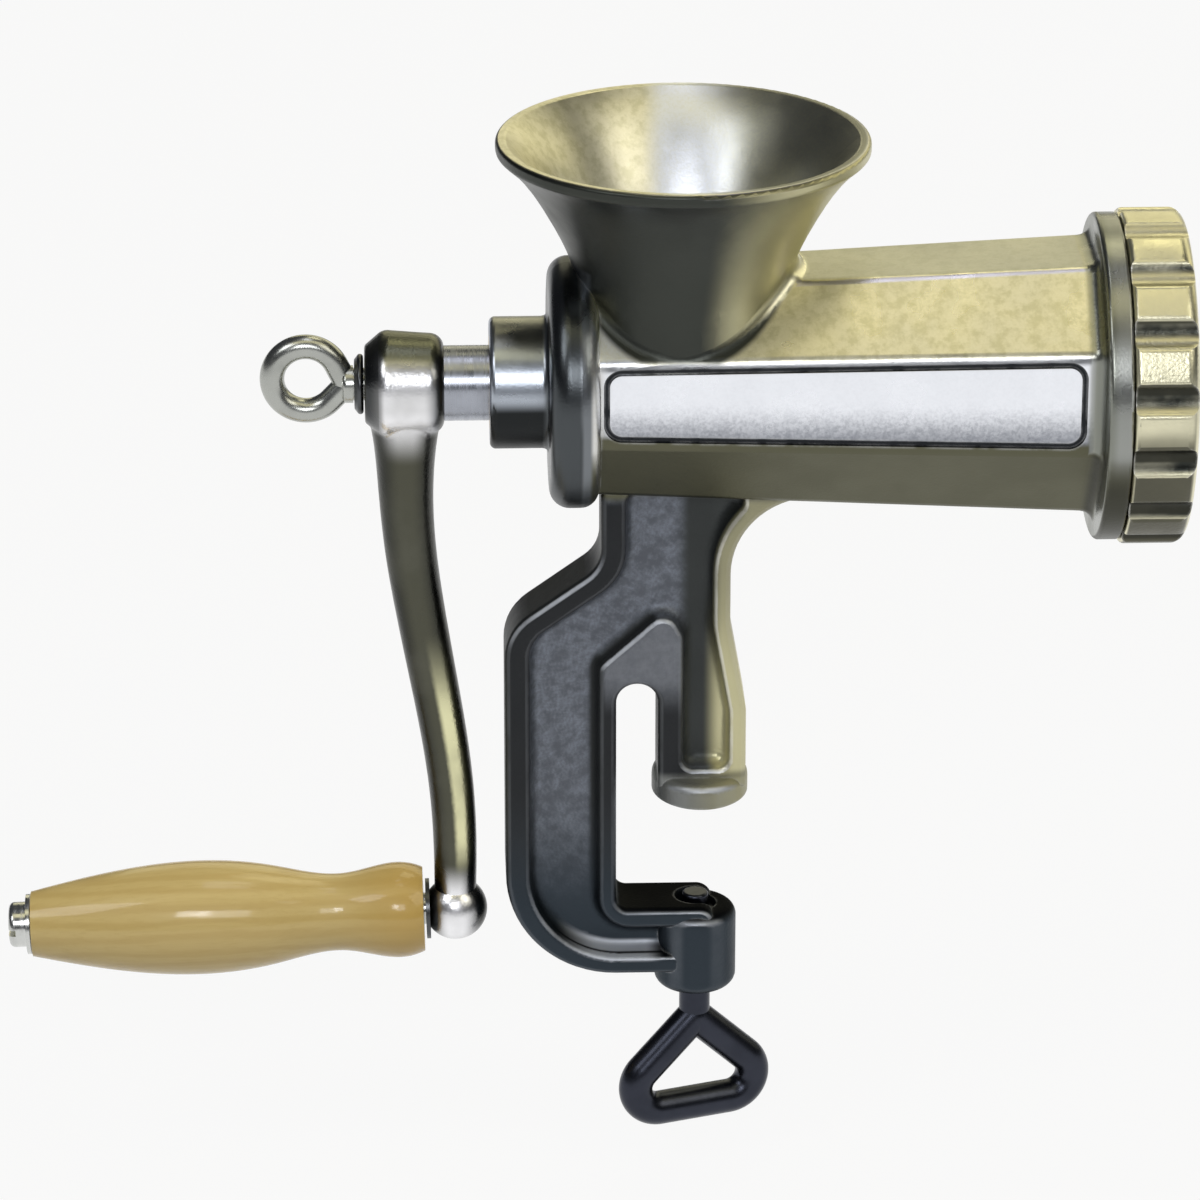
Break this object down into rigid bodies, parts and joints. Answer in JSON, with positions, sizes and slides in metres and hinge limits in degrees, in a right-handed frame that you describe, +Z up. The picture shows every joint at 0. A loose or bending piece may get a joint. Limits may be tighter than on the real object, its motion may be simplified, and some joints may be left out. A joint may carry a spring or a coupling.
{
  "type": "hand crank meat grinder",
  "caption": "Table-clamped hand crank meat grinder with flared hopper, octagonal barrel, feed screw, knife, plate, lobed ring nut and wooden crank grip.",
  "frame": {"origin": "on the upper jaw's underside, above the clamp screw's axis", "axes": "+X along the barrel towards the outlet, +Z up, hopper mouth upwards"},
  "size_m": [0.2905, 0.0904, 0.2626],
  "materials": {
    "tinned_casting": "tinned sand casting, satin with fine grain",
    "bright_steel": "bright zinc plated",
    "black_steel": "blackened, oiled",
    "bronze": "machined",
    "fibre": "pressed fibre",
    "varnished_wood": "clear varnish"
  },
  "bodies": {
    "frame": {"body_casting": "tinned_casting", "rear_bush": "bronze", "thrust_washer": "fibre", "plate_key": "bright_steel"},
    "crank": {"feed_screw": "tinned_casting", "knife_stud": "bright_steel", "cutting_knife": "bright_steel", "crank_arm": "tinned_casting", "grip_axle": "bright_steel", "grip_inner_washer": "bright_steel", "grip_outer_washer": "bright_steel"},
    "grip": {"wooden_grip": "varnished_wood"},
    "thumb_washer": {"thumb_screw_washer": "bright_steel"},
    "thumb_screw": {"crank_thumb_screw": "bright_steel"},
    "plate": {"mincing_plate": "bright_steel"},
    "ring": {"ring_nut": "tinned_casting"},
    "clamp_tip": {"clamp_screw_tip": "black_steel"},
    "clamp_handle": {"clamp_screw": "black_steel"}
  },
  "joints": [
    {"name": "crank_turn", "type": "hinge", "parent": "frame", "child": "crank", "pos_m": [0, 0, 0.108], "axis": [1, 0, 0], "continuous": true},
    {"name": "grip_spin", "type": "hinge", "parent": "crank", "child": "grip", "pos_m": [-0.06045, 0, -0.0326], "axis": [0.9996, 0, 0.0279], "continuous": true},
    {"name": "thumb_washer_slide", "type": "slide", "parent": "crank", "child": "thumb_washer", "axis": [-1, 0, 0], "range_m": [0, 0.009]},
    {"name": "thumb_screw_turn", "type": "hinge", "parent": "thumb_washer", "child": "thumb_screw", "pos_m": [0, 0, 0.108], "axis": [-1, 0, 0], "range_deg": [0, 2520]},
    {"name": "plate_slide", "type": "slide", "parent": "frame", "child": "plate", "axis": [1, 0, 0], "range_m": [0, 0.0092]},
    {"name": "ring_turn", "type": "hinge", "parent": "plate", "child": "ring", "pos_m": [0, 0, 0.108], "axis": [1, 0, 0], "range_deg": [0, 1080]},
    {"name": "clamp_tip_slide", "type": "slide", "parent": "frame", "child": "clamp_tip", "axis": [0, 0, 1], "range_m": [-0.0101, 0.0034]},
    {"name": "clamp_screw_turn", "type": "hinge", "parent": "clamp_tip", "child": "clamp_handle", "pos_m": [0, 0, 0], "axis": [0, 0, 1], "range_deg": [-2400, 800]}
  ],
  "couplings": [
    {"joint": "thumb_washer_slide", "follows": "thumb_screw_turn", "m_per_rad": 0.00019894},
    {"joint": "plate_slide", "follows": "ring_turn", "m_per_rad": 0.00047746},
    {"joint": "clamp_tip_slide", "follows": "clamp_screw_turn", "m_per_rad": 0.00023873}
  ]
}
